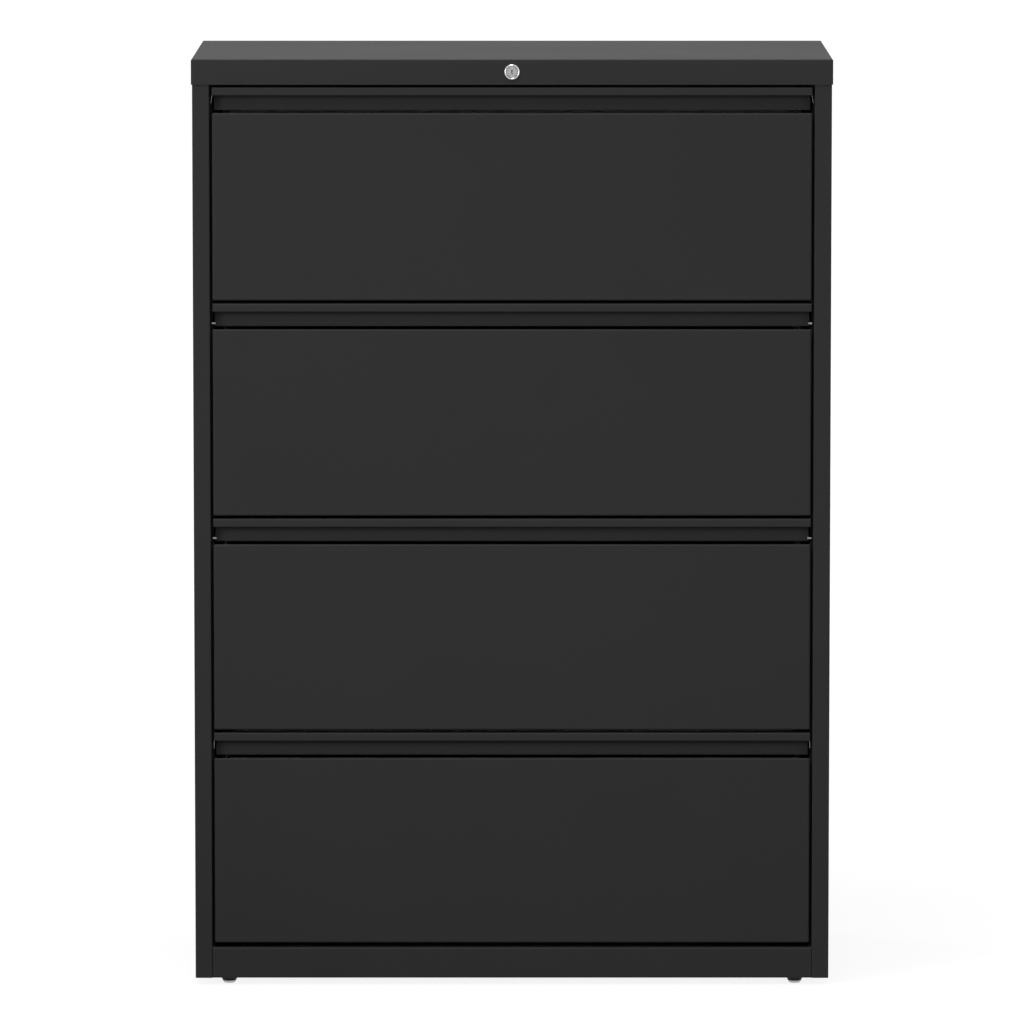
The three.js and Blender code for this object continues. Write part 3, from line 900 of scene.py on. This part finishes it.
def black_powder_coat():
    material, tree, place, shader = new_finish(
        COAT, {"IOR": 1.5, "Specular IOR Level": 0.16})
    cloud = add_node(tree, "ShaderNodeTexNoise", {"Scale": per_metre(CLOUD_MM), "Detail": 2},
                     {"Vector": (place, "Object")})
    speck = add_node(tree, "ShaderNodeTexNoise",
                     {"Scale": per_metre(SPECK_MM), "Detail": 4, "Roughness": 0.6},
                     {"Vector": (place, "Object")})
    tone = add_node(tree, "ShaderNodeMath", {1: 0.5}, {0: (cloud, "Fac")}, operation="MULTIPLY")
    tone = add_node(tree, "ShaderNodeMath", {1: 0.5}, {0: (speck, "Fac"), 2: (tone, "Value")},
                    operation="MULTIPLY_ADD")
    colour = add_node(tree, "ShaderNodeMix", {MIX_A: linear("#242324"), MIX_B: linear("#2e2d2e")},
                      {"Factor": (tone, "Value")}, data_type="RGBA")
    sheen = add_node(tree, "ShaderNodeMapRange", {"To Min": 0.58, "To Max": 0.68},
                     {"Value": (cloud, "Fac")})
    peel = add_node(tree, "ShaderNodeTexNoise", {"Scale": per_metre(PEEL_MM), "Detail": 3},
                    {"Vector": (place, "Object")})
    bump = add_node(tree, "ShaderNodeBump", {"Strength": 0.12, "Distance": 0.25 * MM},
                    {"Height": (peel, "Fac")})
    feed(tree, shader, colour, bump, sheen)
    return material


finishes = {COAT: black_powder_coat()}
print("finished", COAT)

# %% [markdown]
# ## Zinc plate
#
# The slides, bars and folder rails are cold rolled strip with bright zinc on it. Zinc is a grey
# metal with a faint blue cast, and the rolls leave fine lines along the strip. Anisotropy could
# show them, but it needs a direction on every face. The strips here run front to back or across,
# so the lines are drawn as noise stretched along both.

# %% Zinc plate
BLOOM_MM = 22
LINE_MM = 1.2
LINE_STRETCH = 25


def zinc_plate():
    material, tree, place, shader = new_finish(ZINC, {"Metallic": 1})
    bloom = add_node(tree, "ShaderNodeTexNoise", {"Scale": per_metre(BLOOM_MM), "Detail": 3},
                     {"Vector": (place, "Object")})
    stretch = add_node(tree, "ShaderNodeMapping",
                       {"Scale": (1 / LINE_STRETCH, 1 / LINE_STRETCH, 1)},
                       {"Vector": (place, "Object")})
    lines = add_node(tree, "ShaderNodeTexNoise", {"Scale": per_metre(LINE_MM), "Detail": 2},
                     {"Vector": (stretch, "Vector")})
    colour = add_node(tree, "ShaderNodeMix", {MIX_A: linear("#a3a8ad"), MIX_B: linear("#bfc1c1")},
                      {"Factor": (bloom, "Fac")}, data_type="RGBA")
    sheen = add_node(tree, "ShaderNodeMapRange", {"To Min": 0.26, "To Max": 0.46},
                     {"Value": (lines, "Fac")})
    bump = add_node(tree, "ShaderNodeBump", {"Strength": 0.2, "Distance": 0.05 * MM},
                    {"Height": (lines, "Fac")})
    feed(tree, shader, colour, bump, sheen)
    return material


finishes[ZINC] = zinc_plate()
print("finished", ZINC)

# %% [markdown]
# ## Chrome and satin nickel
#
# The bezel is polished and chromed. The plug's face is nickel left as it came off the lathe, so it
# is duller and carries fine rings about its middle. The rings could be cut in the mesh, but a bump
# is enough for marks this fine. A Mapping node puts their centre on the lock's axis. Real turning
# marks are a tenth of a millimetre apart. They are drawn wider here, so that they show.

# %% Chrome and nickel
MOTTLE_MM = 4
WAVE_RATE = 20  # a Wave texture's rings repeat every 2 pi / 20 of a unit at scale 1


def turning_marks(tree, place, spacing_mm):
    centred = add_node(tree, "ShaderNodeMapping", {"Location": -lock_axis},
                       {"Vector": (place, "Object")})
    scale = 2 * math.pi / WAVE_RATE / (spacing_mm * MM)
    return add_node(tree, "ShaderNodeTexWave", {"Scale": scale, "Distortion": 0.4, "Detail": 1},
                    {"Vector": (centred, "Vector")}, wave_type="RINGS", rings_direction="Y")


def plated(name, dark, light, smooth, rough, spacing_mm, strength):
    material, tree, place, shader = new_finish(name, {"Metallic": 1})
    marks = turning_marks(tree, place, spacing_mm)
    mottle = add_node(tree, "ShaderNodeTexNoise", {"Scale": per_metre(MOTTLE_MM), "Detail": 2},
                      {"Vector": (place, "Object")})
    colour = add_node(tree, "ShaderNodeMix", {MIX_A: linear(dark), MIX_B: linear(light)},
                      {"Factor": (mottle, "Fac")}, data_type="RGBA")
    sheen = add_node(tree, "ShaderNodeMapRange", {"To Min": smooth, "To Max": rough},
                     {"Value": (marks, "Fac")})
    bump = add_node(tree, "ShaderNodeBump", {"Strength": strength, "Distance": 0.03 * MM},
                    {"Height": (marks, "Fac")})
    feed(tree, shader, colour, bump, sheen)
    return material


finishes["chrome_plate"] = plated(
    "chrome_plate", "#b4b6b8", "#c6c7c8", smooth=0.08, rough=0.14, spacing_mm=0.6, strength=0.05)
finishes["satin_nickel"] = plated(
    "satin_nickel", "#9e9d9c", "#afaeac", smooth=0.3, rough=0.42, spacing_mm=0.5, strength=0.25)
print("finished chrome_plate and satin_nickel")

# %% [markdown]
# ## Nylon
#
# The cones of the glides and the centring pins are moulded nylon. It has a soft sheen, and the
# mould leaves a fine grain in its skin, which a flat colour would miss. One noise gives the grain
# its tone and its bump, so that the two agree.

# %% Nylon
SKIN_MM = 0.8


def nylon(name, dark, light, gloss):
    material, tree, place, shader = new_finish(
        name, {"IOR": 1.53, "Roughness": 0.5, "Specular IOR Level": gloss})
    grain = add_node(tree, "ShaderNodeTexNoise", {"Scale": per_metre(SKIN_MM), "Detail": 3},
                     {"Vector": (place, "Object")})
    colour = add_node(tree, "ShaderNodeMix", {MIX_A: linear(dark), MIX_B: linear(light)},
                      {"Factor": (grain, "Fac")}, data_type="RGBA")
    bump = add_node(tree, "ShaderNodeBump", {"Strength": 0.3, "Distance": 0.04 * MM},
                    {"Height": (grain, "Fac")})
    feed(tree, shader, colour, bump)
    return material


finishes["black_nylon"] = nylon("black_nylon", "#161617", "#202021", gloss=0.15)
finishes["white_nylon"] = nylon("white_nylon", "#d8d7d2", "#e2e1dd", gloss=0.5)
print("finished black_nylon and white_nylon")

# %% [markdown]
# ## Bare steel, and shade in the keyway
#
# The counterweight in the base is hot rolled plate, still dark with mill scale. The plug's barrel
# and cam take the same dark finish as painted shade, so that the keyway cut through the plug's face
# looks dark inside. The scale is half oxide, so the finish is only partly metallic.
# Patches of one noise drive colour, sheen and bump, because a rubbed patch is lighter and smoother.

# %% Bare steel and keyway shade
SCALE_MM = 9
SCALE_AND_SHADE = "mill_scale_steel"


def mill_scale():
    material, tree, place, shader = new_finish(SCALE_AND_SHADE, {"Metallic": 0.6})
    scale = add_node(tree, "ShaderNodeTexNoise",
                     {"Scale": per_metre(SCALE_MM), "Detail": 6, "Roughness": 0.65},
                     {"Vector": (place, "Object")})
    colour = add_node(tree, "ShaderNodeMix", {MIX_A: linear("#3a3c40"), MIX_B: linear("#64615d")},
                      {"Factor": (scale, "Fac")}, data_type="RGBA")
    sheen = add_node(tree, "ShaderNodeMapRange", {"To Min": 0.45, "To Max": 0.75},
                     {"Value": (scale, "Fac")})
    bump = add_node(tree, "ShaderNodeBump", {"Strength": 0.4, "Distance": 0.2 * MM},
                    {"Height": (scale, "Fac")})
    feed(tree, shader, colour, bump, sheen)
    return material


finishes[SCALE_AND_SHADE] = mill_scale()
print("finishes:", sorted(finishes))

# %% [markdown]
# ## Dressing the pieces
#
# The new pieces take their finish from the list kept above. The solids that stay, such as the
# slides and the posts, could be modelled again, but their shapes are right as they are, so they
# only get a finish.

# %% Finishes on pieces and solids
# The counterweight's dark finish is real mill scale. The lock plug's is painted shade inside its
# keyway.
SCALE_AND_SHADE_SOLIDS = ("counterweight", "lock_plug")
ZINC_ENDINGS = ("_outer_rail", "_mid_rail", "_inner_rail", "_hang_frame")


def dress(piece, finish):
    piece.data.materials.clear()
    piece.data.materials.append(finishes[finish])


def solid_finish(name):
    if name in SCALE_AND_SHADE_SOLIDS:
        return SCALE_AND_SHADE
    # The interlock bar falls to the black coat here, not zinc: painted shade that keeps the gaps
    # beside the drawers dark.
    return ZINC if name == "lock_bar" or name.endswith(ZINC_ENDINGS) else COAT


for finish, group in pieces_by_finish.items():
    for piece in group:
        dress(piece, finish)
kept = [node for node in nodes.values() if not node.hide_render]
for node in kept:
    dress(node, solid_finish(node.name))
print("new pieces:", sum(len(group) for group in pieces_by_finish.values()))
print("solids kept:", len(kept))

# %% [markdown]
# ## Floor
#
# The picture has a white studio round a black cabinet. Enough light to whiten the floor would
# bleach the cabinet. So the floor is pale, and adds its own light for the camera and for
# reflections alone. Near the cabinet it adds a little less, so that it still takes a soft shadow,
# and far away it meets the world without a line.

# %% Floor
FLOOR_SIDE = 60
NEAR = 1.2
FAR = 4
NEAR_GLOW = 0.88
FAR_GLOW = 1
WHITE = linear("#ffffff")
deselect_all()
bpy.ops.mesh.primitive_plane_add(size=FLOOR_SIDE, location=(0, 0, 0))
floor = bpy.context.object
floor.name = "studio_floor"
print("floor", FLOOR_SIDE, "m wide")


# %% Paper on the floor
def seen_rays(tree):
    """1 where the camera, a mirror or a glass looks, and 0 where light only falls."""
    ray = add_node(tree, "ShaderNodeLightPath")
    seen = add_node(tree, "ShaderNodeMath", operation="MAXIMUM",
                    links={0: (ray, "Is Camera Ray"), 1: (ray, "Is Glossy Ray")})
    return add_node(tree, "ShaderNodeMath", operation="MAXIMUM",
                    links={0: (seen, "Value"), 1: (ray, "Is Transmission Ray")})


paper = bpy.data.materials.new("white_paper_floor")
paper.use_nodes = True
tree = paper.node_tree
tree.nodes.clear()
place = add_node(tree, "ShaderNodeTexCoord")
away = add_node(tree, "ShaderNodeVectorMath", links={0: (place, "Object")}, operation="LENGTH")
fade = {"From Min": NEAR, "From Max": FAR, "To Min": NEAR_GLOW, "To Max": FAR_GLOW}
level = add_node(tree, "ShaderNodeMapRange", fade, {"Value": (away, "Value")},
                 interpolation_type="SMOOTHSTEP")
matte = add_node(tree, "ShaderNodeBsdfDiffuse", {"Color": linear("#707070")})
glow = add_node(tree, "ShaderNodeEmission", {"Color": WHITE}, {"Strength": (level, "Result")})
dark = add_node(tree, "ShaderNodeEmission", {"Strength": 0})
shine = add_node(tree, "ShaderNodeMixShader",
                 links={0: (seen_rays(tree), "Value"), 1: (dark, 0), 2: (glow, 0)})
both = add_node(tree, "ShaderNodeAddShader", links={0: (matte, 0), 1: (shine, 0)})
add_node(tree, "ShaderNodeOutputMaterial", links={"Surface": (both, 0)})
floor.data.materials.append(paper)
print("the floor glows", NEAR_GLOW, "near the cabinet and", FAR_GLOW, "far away")

# %% [markdown]
# ## World
#
# The world is the rest of the studio: white where the camera or a reflection looks, and dimmer as
# a light on the object. One plain white world would do both, but then the coat would turn grey.

# %% World
SKY_LIGHT = 0.33
scene = bpy.context.scene
world = bpy.data.worlds.new("white_studio")
scene.world = world
world.use_nodes = True
tree = world.node_tree
tree.nodes.clear()
room = add_node(tree, "ShaderNodeBackground", {"Color": WHITE, "Strength": SKY_LIGHT})
white = add_node(tree, "ShaderNodeBackground", {"Color": WHITE, "Strength": 1})
mixed = add_node(tree, "ShaderNodeMixShader",
                 links={0: (seen_rays(tree), "Value"), 1: (room, 0), 2: (white, 0)})
add_node(tree, "ShaderNodeOutputWorld", links={"Surface": (mixed, 0)})
print("sky light", SKY_LIGHT)

# %% [markdown]
# ## Lamps
#
# Two low soft lamps light the front, the left one more, and an overhead one draws the light lines
# along the bends. Two behind light the sides and the back. A sun would be simpler, but its hard
# shadows are not those of a studio. The low lamps have a grid, so that they spare the floor.

# %% Lamps
AIM_HEIGHT = 0.85
AIM = Vector((0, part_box("drawer_1_front")[0].y, AIM_HEIGHT))
KEY_GRID = 50
NO_GRID = 180


def softbox(name, place, side, power, grid=NO_GRID):
    """A square soft lamp that looks at the front. A grid narrows its light to so many degrees."""
    lamp = bpy.data.lights.new(name, "AREA")
    lamp.size = side
    lamp.energy = power
    lamp.spread = math.radians(grid)
    holder = bpy.data.objects.new(name, lamp)
    scene.collection.objects.link(holder)
    holder.location = place
    holder.rotation_euler = (AIM - Vector(place)).to_track_quat("-Z", "Y").to_euler()


softbox("left_key_softbox", place=(-2.9, -2.8, 1.6), side=1.6, power=7.3, grid=KEY_GRID)
softbox("right_key_softbox", place=(2.9, -2.8, 1.6), side=1.6, power=2.6, grid=KEY_GRID)
softbox("overhead_softbox", place=(-0.6, -2.2, 6.5), side=2.4, power=190)
softbox("left_back_softbox", place=(-3.4, 2.4, 2.2), side=1.6, power=46)
softbox("right_back_softbox", place=(3.4, 2.4, 2.2), side=1.6, power=46)

# %% [markdown]
# ## Camera
#
# The picture was taken square on, from a little above the top, with the whole cabinet in the
# middle of a square frame. A near camera would need a shifted lens to keep the uprights parallel.
# A long lens far away keeps them nearly so without one.

# %% Camera
CAMERA_DISTANCE = 12
CAMERA_HEIGHT = 2.0442
CAMERA_TILT = math.radians(6.46)
CAMERA_LENS = 296.6
SENSOR_WIDTH = 36
VIEW_DEPTH = 200
camera = bpy.data.cameras.new("front_camera")
camera.lens = CAMERA_LENS
camera.sensor_width = SENSOR_WIDTH
camera.clip_end = VIEW_DEPTH
holder = bpy.data.objects.new("front_camera", camera)
scene.collection.objects.link(holder)
holder.location = (0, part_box("drawer_1_front")[0].y - CAMERA_DISTANCE, CAMERA_HEIGHT)
holder.rotation_euler = (math.pi / 2 - CAMERA_TILT, 0, 0)
scene.camera = holder
scene.view_settings.view_transform = "Standard"
print("camera", CAMERA_DISTANCE, "m away")
